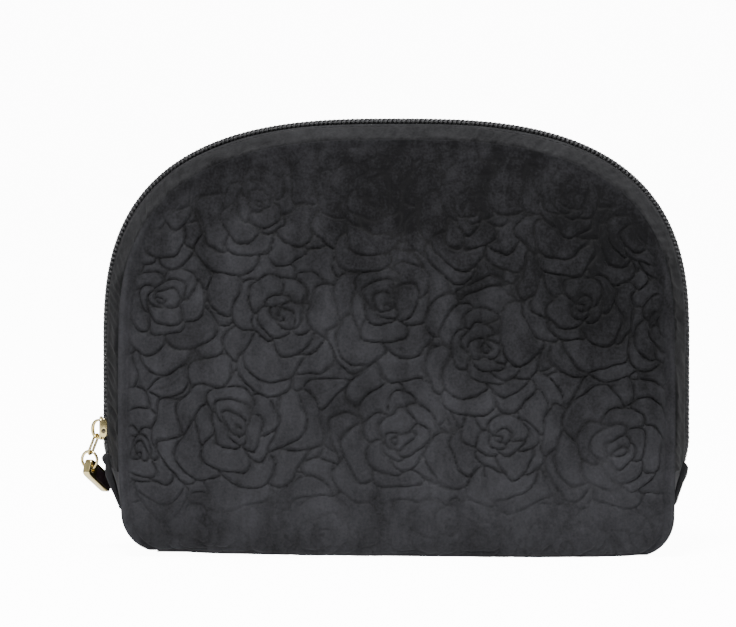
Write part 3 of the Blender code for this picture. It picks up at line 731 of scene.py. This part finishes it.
gusset, u, v = grid_object("base_gusset_velvet", 460, 90)
across = 2.0 * v - 1.0
places = gusset_surface(u, across)
normals = outward(gusset_surface, u, across, lowest=-1.0)
rim_gap = (1.0 - np.abs(across)) * GUSSET_HALF
relief = 0.45 * gentle_noise(places[:, 0] / MM, places[:, 1] / MM, 40.0, 31)
relief += 0.14 * gentle_noise(places[:, 0] / MM, 0.4 * places[:, 1] / MM, 9.0, 32)
relief = np.where(places[:, 2] < 1.0 * MM, np.minimum(relief, 0.0), relief) * smooth(rim_gap / 4.0)
relief -= 0.5 * ridge(rim_gap, 0.0, 0.9)
set_places(gusset, slump(places - normals * (relief * MM)[:, None]))
turn_faces(gusset)
wall(gusset, VELVET)
gusset.data.materials.append(plain_velvet)
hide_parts("base_gusset")
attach(gusset, "bag")

# End tabs: a folded scrap of velvet over each end of the zip, flat at the foot and rolled
# over at the top, where it is sewn down onto the gusset.
TAB_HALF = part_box("right_end_tab")[1][1]
TAB_PROFILES = {  # height and how far the tab stands out, in millimetres
    "left": [(15.5, 0.2), (18, 0.9), (22, 1.7), (27, 2.6), (29.5, 2.4), (31.5, 1.5), (33, 2.2),
             (34.3, 2.5), (35.4, 1.4), (36, 0.3)],
    "right": [(15.5, 0.2), (18, 1.2), (22, 1.7), (26, 2.1), (28.5, 2.5), (30.5, 2.3), (31.8, 1.3),
              (32.5, 0.3)]}

for label, side in (("left", -1), ("right", 1)):
    profile = np.array(TAB_PROFILES[label])
    tab_heights = np.linspace(profile[0, 0], profile[-1, 0], 201)
    tab_swell = np.interp(tab_heights, profile[:, 0], profile[:, 1])
    blur = np.exp(-np.linspace(-2.5, 2.5, 21) ** 2)
    tab_swell = np.convolve(np.pad(tab_swell, 10, "edge"), blur / blur.sum(), "valid")
    outer, u, v = grid_object(f"{label}_end_tab_velvet", 56, 90)
    inner, inner_u, inner_v = grid_object(f"{label}_end_tab_inner", 12, 12)
    for sheet_part, across, up, top in ((outer, u, v, True), (inner, inner_u, inner_v, False)):
        z = mix(profile[0, 0], profile[-1, 0], up) * MM
        crown = widening(z)
        y = across * TAB_HALF * (0.90 + 0.10 * up)
        x = RIM_X + (RIM_INSET - FACING_DROP) * crown + 0.1 * MM
        x = x - 0.9 * MM * (np.abs(y) / TAB_HALF) ** 3
        if top:
            high = np.interp(z / MM, tab_heights, tab_swell)
            high = high + 0.12 * gentle_noise(y / MM * 1.5, z / MM, 5.0, 40 + side)
            high *= (1.0 - np.abs(across) ** 7) ** 0.5 * 0.8 + 0.2
            x = x + high * MM
        set_places(sheet_part, np.stack([side * x, y, z], axis=-1))
    turn_faces(inner if side > 0 else outer)
    tab = join_walls(outer, inner)
    smoothing = tab.modifiers.new("soften", "SMOOTH")
    smoothing.iterations = 6
    bpy.ops.object.modifier_apply(modifier=smoothing.name)
    tab.data.materials.append(plain_velvet)
    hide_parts(f"{label}_end_tab")
    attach(tab, "bag")

# Zip: a nylon coil on each side, wound from one thick strand and sewn to a woven tape with
# two rows of thread. The loops of one side sit between those of the other; below the slider
# the two sides part.
ZIP_PITCH = 1.69 * MM
STRAND = 0.38 * MM
COIL_MIDDLE, COIL_REACH, COIL_RISE = 1.27 * MM, 1.43 * MM, 0.80 * MM
COIL_DEPTH = 1.20 * MM
CORD = 0.42 * MM
SLIDER_LOW, SLIDER_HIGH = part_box("slider_body")
TAPE_DEPTH, TAPE_THICK, TAPE_HALF = 2.7 * MM, 0.5 * MM, 11.0 * MM
FLARE = 0.65 * MM
LOOPS = int(ARCH_LENGTH / ZIP_PITCH)
SEWING_ROWS, SEWING_THREAD = (1.35 * MM, 2.25 * MM), 0.13 * MM
TAPE_GAP = 0.2 * MM


def zip_parting(along):
    """How far each side of the zip is pushed aside, below the slider."""
    z = arch(along, 0.0)[1]
    start = SLIDER_LOW[2] + 6.0 * MM
    return np.where(along > 0, 0.0, FLARE * (1.0 - smooth((z - start) / (7.0 * MM))))


def strand_places(along, depth):
    """Places under the crest of the arch by the given depth."""
    x, z = arch(along, 0.0)
    after, before = np.array(arch(along + 1e-5, 0.0)), np.array(arch(along - 1e-5, 0.0))
    tangent = (after - before) / np.linalg.norm(after - before, axis=0)
    return x + tangent[1] * depth, z - tangent[0] * depth


def woven_finish(name, dark, light, rows):
    """A tight twill: two waves of yarn crossed at a slant."""
    finish, tree = new_finish(name)
    where = add_node(tree, "TexCoord", {}).outputs["Object"]
    yarns = []
    for turn, scale in ((38.0, rows), (-52.0, 0.55 * rows)):
        slant = (math.radians(25), math.radians(turn), 0.0)
        place = add_node(tree, "Mapping", {"Vector": where, "Rotation": slant})
        yarn = add_node(tree, "TexWave", {"Vector": place.outputs["Vector"], "Scale": scale,
                                          "Distortion": 0.6})
        yarns.append(yarn.outputs["Fac"])
    crossing = add_node(tree, "Math", {0: yarns[0], 1: yarns[1]}, operation="MULTIPLY").outputs[0]
    to_shader(tree, {"Base Color": blend_colours(tree, (*dark, 1), (*light, 1), crossing),
                     "Normal": bumped(tree, crossing, 0.5, 0.0002),
                     "Roughness": 0.8, "Sheen Weight": 0.2})
    return finish


nylon, tree = new_finish("zip nylon")
nylon_where = add_node(tree, "TexCoord", {}).outputs["Object"]
cloud = add_node(tree, "TexNoise", {"Vector": nylon_where, "Scale": 420.0}).outputs["Fac"]
nylon_gloss = add_node(tree, "MapRange", {"Value": cloud, "To Min": 0.36, "To Max": 0.52})
to_shader(tree, {
    "Base Color": blend_colours(tree, (0.030, 0.030, 0.032, 1), (0.066, 0.066, 0.069, 1), cloud),
    "Roughness": nylon_gloss.outputs["Result"], "Specular IOR Level": 0.35})
tape_weave = woven_finish("zip tape", (0.008, 0.008, 0.009), (0.036, 0.036, 0.038), 420.0)
for label, side in (("front", -1), ("back", 1)):
    turns = np.arange(10 * LOOPS + 1) / 10.0
    along = np.clip(2.0 * (turns + (0.25 if side < 0 else 0.75)) / (LOOPS + 1) - 1.0, -1.0, 1.0)
    angle = 2.0 * np.pi * turns
    x, z = strand_places(along, COIL_DEPTH + COIL_RISE * np.sin(angle))
    y = zip_parting(along) + COIL_MIDDLE - COIL_REACH * np.cos(angle)
    coil = tube(f"{label}_zip_coil_strand", np.stack([x, side * y, z], axis=-1), STRAND)
    coil.data.materials.append(nylon)
    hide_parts(f"{label}_zip_coil")
    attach(coil, "bag")

    along = np.linspace(-1.0, 1.0, 900)
    x, z = strand_places(along, COIL_DEPTH)
    cord = tube(f"{label}_zip_filler_cord",
                np.stack([x, side * (zip_parting(along) + COIL_MIDDLE), z], axis=-1), CORD)
    cord.data.materials.append(nylon)
    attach(cord, "bag")

    rows = []
    for across in SEWING_ROWS:
        turns = np.arange(2 * LOOPS) / 2.0
        along = 2.0 * (turns + 0.5) / (LOOPS + 1) - 1.0
        x, z = strand_places(along, (0.10 + 0.30 * (np.arange(2 * LOOPS) % 2)) * MM)
        rows.append(np.stack([x, side * (across + zip_parting(along)), z], axis=-1))
    sewing = tube(f"{label}_zip_sewing", rows, SEWING_THREAD)
    sewing.data.materials.append(thread_finish)
    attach(sewing, "bag")

    tape, u, v = grid_object(f"{label}_zip_tape_cloth", 700, 12)
    edge_x, edge_z = strand_places(u, TAPE_DEPTH)
    under = facing_surface(u, 0.0)
    far = facing_surface(u, 1.0)
    reach = np.linalg.norm(far - under, axis=-1)
    share = np.clip((0.5 - v) / 0.5, 0, 1) * (TAPE_HALF - FACING_EDGE) / reach
    drop = outward(facing_surface, u, 0.5) * (TAPE_DEPTH - FACING_DROP)
    flat_y = -mix(FACING_EDGE, zip_parting(u) + TAPE_GAP, np.clip((v - 0.5) / 0.5, 0, 1))
    places = mix(under, far, share[:, None]) + drop
    inner_part = np.stack([edge_x, flat_y, edge_z], axis=-1)
    places = np.where((v > 0.5)[:, None], inner_part, places)
    places[:, 1] *= -side
    set_places(tape, places)
    if side > 0:
        turn_faces(tape)
    wall(tape, TAPE_THICK)
    tape.data.materials.append(tape_weave)
    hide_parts(f"{label}_zip_tape")
    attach(tape, "bag")

# Slider: die-cast and plated pale gold. Two wings hold the coils between them, joined by a
# post; the outer wing has folded-down flanks, and a crown on its back carries the chain.
WING_THICK = 1.1 * MM
FLANK_THICK, FLANK_REACH = 0.7 * MM, 3.35 * MM
RIVET_RADIUS, RIVET_DEPTH, RIVET_IN, RIVET_DROP = 0.85 * MM, 0.9 * MM, 1.65 * MM, 0.8 * MM
CROWN_LOW, CROWN_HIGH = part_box("slider_crown")


def plating_group():
    """Plated metal: a slow change of tone, and fine handling marks in the gloss."""
    group, given, gives = surface_group("plating", (
        ("Clean", "Color", (0.86, 0.78, 0.56, 1)), ("Worn", "Color", (0.72, 0.60, 0.36, 1)),
        ("Gloss", "Float", 0.16)))
    where = add_node(group, "TexCoord", {}).outputs["Object"]
    cloud = add_node(group, "TexNoise", {"Vector": where, "Scale": 260.0, "Detail": 3.0}).outputs[0]
    marks = add_node(group, "TexNoise", {"Vector": where, "Scale": 1500.0, "Detail": 4.0}).outputs[0]
    gloss = add_node(group, "Math", {0: marks, 1: 0.16, 2: given["Gloss"]}, operation="MULTIPLY_ADD")
    fill_sockets(group, gives, {"Color": blend_colours(group, given["Clean"], given["Worn"], cloud),
                                "Roughness": gloss.outputs[0], "Height": cloud})
    return group


gold, tree = new_finish("pale gold plating")
plating = add_node(tree, "Group", {"Clean": (0.88, 0.73, 0.36, 1), "Worn": (0.64, 0.53, 0.25, 1),
                                   "Gloss": 0.10}, node_tree=plating_group())
to_shader(tree, {"Base Color": plating.outputs["Color"], "Roughness": plating.outputs["Roughness"],
                 "Normal": bumped(tree, plating.outputs["Height"], 0.12, 0.0002), "Metallic": 1.0})


def settle(item, *modifiers):
    """Applies modifiers, and smooths what is nearly flat."""
    choose(item)
    for modifier in modifiers:
        bpy.ops.object.modifier_apply(modifier=modifier.name)
    bpy.ops.object.shade_smooth_by_angle(angle=math.radians(40))


def round_plate(name, middle, half, axis, power=4.0, taper=0.0, edge=0.25 * MM, sides=48):
    """A plate with a rounded outline: half is its half size, axis the way it is thin."""
    bpy.ops.object.select_all(action="DESELECT")
    bpy.ops.mesh.primitive_cylinder_add(vertices=sides, radius=1.0, depth=2.0)
    plate = bpy.context.object
    plate.name = plate.data.name = name
    for vert in plate.data.vertices:
        a, b, c = vert.co
        size = (abs(a) ** power + abs(b) ** power) ** (-1.0 / power)
        a, b = a * size, b * size
        a *= 1.0 - taper * b
        place = {"X": (c, a, b), "Y": (a, c, b), "Z": (a, b, c)}[axis]
        vert.co = [m + h * p for m, h, p in zip(middle, half, place)]
    bpy.ops.object.mode_set(mode="EDIT")
    bpy.ops.mesh.select_all(action="SELECT")
    bpy.ops.mesh.normals_make_consistent(inside=False)
    bpy.ops.object.mode_set(mode="OBJECT")
    bevel = plate.modifiers.new("edge", "BEVEL")
    bevel.width, bevel.segments, bevel.limit_method = edge, 3, "ANGLE"
    bevel.angle_limit = math.radians(50)
    settle(plate, bevel)
    return plate


def swept(name, centres, across, out, half_across, half_out, power=2.6, sides=14):
    """A bar along the given places, with its own half sizes at each and rounded corners."""
    bar, u, v = grid_object(name, len(centres) - 1, sides)
    row = np.rint(0.5 * (u + 1.0) * (len(centres) - 1)).astype(int)
    turn = 2.0 * np.pi * v
    a = np.copysign(np.abs(np.cos(turn)) ** (2.0 / power), np.cos(turn)) * half_across[row]
    b = np.copysign(np.abs(np.sin(turn)) ** (2.0 / power), np.sin(turn)) * half_out[row]
    set_places(bar, centres[row] + across[row] * a[:, None] + out[row] * b[:, None])
    bpy.ops.object.mode_set(mode="EDIT")
    bpy.ops.mesh.select_all(action="SELECT")
    bpy.ops.mesh.remove_doubles(threshold=1e-6)
    bpy.ops.mesh.fill_holes(sides=0)
    bpy.ops.mesh.normals_make_consistent(inside=False)
    bpy.ops.object.mode_set(mode="OBJECT")
    settle(bar)
    return bar


def cut_with(item, cutter):
    cut = item.modifiers.new("cut", "BOOLEAN")
    cut.operation, cut.object, cut.solver = "DIFFERENCE", cutter, "EXACT"
    settle(item, cut)
    bpy.data.objects.remove(cutter)


slider_z = 0.5 * (SLIDER_LOW[2] + SLIDER_HIGH[2])
half_z, half_y = 0.43 * (SLIDER_HIGH[2] - SLIDER_LOW[2]), SLIDER_HIGH[1]
outer_x = SLIDER_LOW[0] + 0.5 * WING_THICK
inner_x = SLIDER_HIGH[0] - 0.5 * WING_THICK
wing_half = 0.5 * WING_THICK
cast = [round_plate("outer_wing", (outer_x, 0.0, slider_z), (wing_half, 0.93 * half_y, half_z), "X",
                    taper=0.10, edge=0.38 * MM),
        round_plate("inner_wing", (inner_x, 0.0, slider_z), (wing_half, 0.90 * half_y, 0.96 * half_z),
                    "X", taper=0.10, edge=0.38 * MM),
        round_plate("post", (0.5 * (outer_x + inner_x), 0.0, SLIDER_LOW[2] + 2.0 * MM),
                    (0.5 * (inner_x - outer_x), 0.5 * MM, 1.4 * MM), "X", edge=0.1 * MM)]
rivet_x, rivet_z = SLIDER_LOW[0] + RIVET_IN, slider_z - RIVET_DROP
for side in (-1, 1):
    middle = (SLIDER_LOW[0] + 0.5 * FLANK_REACH, side * (half_y - 0.5 * FLANK_THICK),
              slider_z + 0.3 * MM)
    flank = round_plate("flank", middle, (0.5 * FLANK_REACH, 0.5 * FLANK_THICK, 0.80 * half_z), "Y",
                        power=2.7, edge=0.26 * MM)
    bpy.ops.object.select_all(action="DESELECT")
    bpy.ops.mesh.primitive_cylinder_add(vertices=32, radius=RIVET_RADIUS, depth=RIVET_DEPTH,
                                        location=(rivet_x, side * half_y, rivet_z),
                                        rotation=(math.radians(90), 0.0, 0.0))
    cut_with(flank, bpy.context.object)
    cast.append(flank)
slider = join_all("slider_casting", cast)
slider.data.materials.append(gold)
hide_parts("slider_body")
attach(slider, "slider")

# Painted shade in the flank holes: a dark disc sits at the bottom of the hole in each flank, a little
# smaller than the hole, standing in for the shade inside it. The pair is one piece and moves with the
# slider.
hole_shade_discs = [round_plate("hole_shade_disc", (rivet_x, side * (half_y - 0.5 * MM), rivet_z),
                      (RIVET_RADIUS - 0.05 * MM, 0.12 * MM, RIVET_RADIUS - 0.05 * MM), "Y",
                      power=2.0, edge=0.03 * MM, sides=24) for side in (-1, 1)]
hole_shade_pair = join_all("slider_hole_shade", hole_shade_discs)
hole_shade_finish = gold.copy()
hole_shade_finish.name = "painted hole shade"
hole_shade_shader = hole_shade_finish.node_tree.nodes["Principled BSDF"]
for link in list(hole_shade_shader.inputs["Base Color"].links):
    hole_shade_finish.node_tree.links.remove(link)
# painted shade: the disc's dark colour stands for the shade deep in the hole
hole_shade_shader.inputs["Base Color"].default_value = (0.10, 0.085, 0.06, 1)
hole_shade_pair.data.materials.append(hole_shade_finish)
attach(hole_shade_pair, "slider")

# Crown: a narrow bar bent over the outer wing, wider and thinner at its feet, which are cast
# onto the wing. The chain's first link hangs in it.
turn = np.linspace(0.0, np.pi, 41)
strap = 0.40 * MM + 0.30 * MM * np.sin(turn)
foot = SLIDER_LOW[0] + 0.25 * MM
rise = foot - CROWN_LOW[0] - strap
reach = 0.5 * (CROWN_HIGH[2] - CROWN_LOW[2]) - 0.75 * MM
crown_z = 0.5 * (CROWN_LOW[2] + CROWN_HIGH[2])
centres = np.stack([foot - rise * np.sin(turn) ** 0.8, 0.0 * turn, crown_z - reach * np.cos(turn)],
                   axis=-1)
slope = np.gradient(centres, axis=0)
slope /= np.linalg.norm(slope, axis=1, keepdims=True)
level = np.tile((0.0, 1.0, 0.0), (len(turn), 1))
width = (0.62 + 0.28 * (1.0 - np.sin(turn))) * MM
crown = swept("slider_crown_bar", centres, level, np.cross(slope, level), width, strap)
crown.data.materials.append(gold)
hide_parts("slider_crown")
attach(crown, "slider")

# Zip end: below the slider the lower end of the left zip is bound in a short sleeve of black
# woven tape, sewn round both coils and a little rounded at its ends.
SLEEVE_STEPS = 13
SLEEVE_LOW, SLEEVE_HIGH, SLEEVE_LEAN = 35.6 * MM, 39.6 * MM, 1.2 * MM
SLEEVE_HALF_WIDTH, SLEEVE_HALF_THICK = 4.2 * MM, 1.75 * MM
sleeve_z = np.linspace(SLEEVE_LOW, SLEEVE_HIGH, SLEEVE_STEPS)
sleeve_x = SLIDER_LOW[0] + 2.9 * MM + np.linspace(SLEEVE_LEAN, 0.0, SLEEVE_STEPS)
centres = np.stack([sleeve_x, 0.0 * sleeve_z, sleeve_z], axis=-1)
level = np.tile((0.0, 1.0, 0.0), (SLEEVE_STEPS, 1))
outer_way = np.tile((1.0, 0.0, 0.0), (SLEEVE_STEPS, 1))
full = 0.80 + 0.20 * np.sin(np.linspace(0.0, np.pi, SLEEVE_STEPS))
sleeve = swept("zip_end_sleeve", centres, level, outer_way, SLEEVE_HALF_WIDTH * full,
               SLEEVE_HALF_THICK * full)
sleeve.data.materials.append(tape_weave)
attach(sleeve, "bag")

# Chain: an oblong link of round wire hangs in the crown, and a round ring in the link.
JOINTS = {joint["name"]: joint for joint in frame["joints"]}
LINK_WIRE, LINK_HALF, LINK_TWIST = 0.52 * MM, 1.8 * MM, math.radians(20)
RING_WIRE, RING_RADIUS = 0.55 * MM, 3.15 * MM
link_top = Vector(JOINTS["link_swing"]["pos_m"])
link_low = Vector(JOINTS["ring_swing"]["pos_m"])
pull_eye = Vector(JOINTS["pull_swing"]["pos_m"])
down = (link_low - link_top).normalized()
level = Vector((0.0, 1.0, 0.0))
wide = level * math.cos(LINK_TWIST) - level.cross(down) * math.sin(LINK_TWIST)
straight = (link_low - link_top).length - 2.0 * LINK_HALF
turn = 2.0 * np.pi * (np.arange(72) + 0.5) / 72
along = LINK_HALF * np.sin(turn) + 0.5 * straight * np.sign(np.sin(turn))
link_middle = np.array(0.5 * (link_top + link_low))
places = link_middle + np.outer(np.cos(turn) * LINK_HALF, wide) - np.outer(along, down)
link = tube("chain_link_wire", places, LINK_WIRE, closed=True, sides=4)
link.data.materials.append(gold)
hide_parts("chain_link")
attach(link, "link")

hinge = Vector(JOINTS["pull_swing"]["axis"])
ring_centre = np.array(pull_eye) + np.array((0.0, 0.0, RING_RADIUS))
turn = 2.0 * np.pi * np.arange(72) / 72
places = ring_centre + RING_RADIUS * (np.outer(np.cos(turn), hinge) + np.outer(np.sin(turn), (0, 0, 1)))
ring = tube("chain_ring_wire", places, RING_WIRE, closed=True, sides=4)
ring.data.materials.append(gold)
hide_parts("chain_ring")
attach(ring, "ring")

# Pull: a cast gold frame with an eye at its head for the ring, and a strip of black leather
# set in its window, a little domed on both faces.
PULL_LENGTH, PULL_HEAD, PULL_WIDTH, PULL_THICK = 17.7 * MM, 2.2 * MM, 6.5 * MM, 3.0 * MM
PULL_EYE, PULL_RIM = 1.15 * MM, 0.9 * MM
PULL_DROP = math.radians(28.0)
back = Vector((-hinge.y, hinge.x, 0.0))
along = back * math.cos(PULL_DROP) - Vector((0.0, 0.0, math.sin(PULL_DROP)))
pull_axes = Matrix((along, hinge.cross(along), hinge)).transposed().to_4x4()
pull_place = Matrix.Translation(pull_eye) @ pull_axes
end = PULL_LENGTH - PULL_HEAD
window_low = PULL_EYE + 2.0 * PULL_RIM
body = round_plate("pull_casting", (0.5 * (end - PULL_HEAD), 0.0, 0.0),
                   (0.5 * PULL_LENGTH, 0.5 * PULL_WIDTH, 0.5 * PULL_THICK), "Z", power=7.0,
                   edge=0.5 * MM, sides=72)
bpy.ops.object.select_all(action="DESELECT")
bpy.ops.mesh.primitive_cylinder_add(vertices=40, radius=PULL_EYE, depth=2.0 * PULL_THICK)
cut_with(body, bpy.context.object)
window_middle = 0.5 * (window_low + end - PULL_RIM)
window_half, window_side = 0.5 * (end - PULL_RIM - window_low), 0.5 * PULL_WIDTH - PULL_RIM
window = round_plate("window", (window_middle, 0.0, 0.0), (window_half, window_side, PULL_THICK),
                     "Z", power=9.0, edge=0.02 * MM)
cut_with(body, window)
collars = []
for face in (-1, 1):
    turn = 2.0 * np.pi * np.arange(40) / 40
    rim = (PULL_EYE + 0.28 * MM) * np.stack([np.cos(turn), np.sin(turn), 0 * turn], axis=-1)
    rim[:, 2] = face * (0.5 * PULL_THICK - 0.12 * MM)
    collars.append(tube("collar", rim, 0.26 * MM, closed=True, sides=3))
body = join_all("pull_casting", [body] + collars)
body.data.transform(pull_place)
body.data.materials.append(gold)
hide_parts("pull_frame")
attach(body, "pull")

INLAY_GAP, INLAY_DOME = 0.04 * MM, 0.16 * MM
inlay = round_plate("pull_leather", (window_middle, 0.0, 0.0),
                    (window_half - INLAY_GAP, window_side - INLAY_GAP, 0.5 * PULL_THICK - 0.1 * MM),
                    "Z", power=9.0, edge=0.35 * MM)
choose(inlay)
bpy.ops.object.mode_set(mode="EDIT")
bpy.ops.mesh.select_all(action="DESELECT")
work = bmesh.from_edit_mesh(inlay.data)
for face in work.faces:
    face.select = abs(face.normal.z) > 0.99
bmesh.update_edit_mesh(inlay.data)
bpy.ops.mesh.inset(thickness=0.5 * MM, use_individual=True)
bpy.ops.object.mode_set(mode="OBJECT")
for vert in inlay.data.vertices:
    inside = min(window_half - abs(vert.co.x - window_middle), window_side - abs(vert.co.y))
    vert.co.z += math.copysign(INLAY_DOME * float(smooth(inside / (0.9 * MM))), vert.co.z)
settle(inlay)
inlay.data.transform(pull_place)
leather, tree = new_finish("black leather")
leather_where = add_node(tree, "TexCoord", {}).outputs["Object"]
pebbles = add_node(tree, "TexVoronoi", {"Vector": leather_where, "Scale": 2200.0}).outputs["Distance"]
to_shader(tree, {
    "Base Color": blend_colours(tree, (0.018, 0.009, 0.012, 1), (0.034, 0.020, 0.024, 1), pebbles),
    "Normal": bumped(tree, pebbles, 0.35, 0.0001), "Roughness": 0.42})
inlay.data.materials.append(leather)
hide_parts("pull_inlay")
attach(inlay, "pull")

# Inner layers that the closed bag hides: black satin linings sewn in along the zip, and a grey
# stiffening board under the base lining.
satin = woven_finish("satin lining", (0.006, 0.006, 0.007), (0.022, 0.022, 0.024), 700.0)
board_pulp = woven_finish("grey board", (0.06, 0.06, 0.06), (0.12, 0.12, 0.115), 160.0)
for node, finish in (("front_lining", satin), ("back_lining", satin), ("front_facing_lining", satin),
                     ("back_facing_lining", satin), ("base_lining", satin), ("base_board", board_pulp)):
    piece = frame["nodes"][node]
    piece.data.materials.clear()
    piece.data.materials.append(finish)
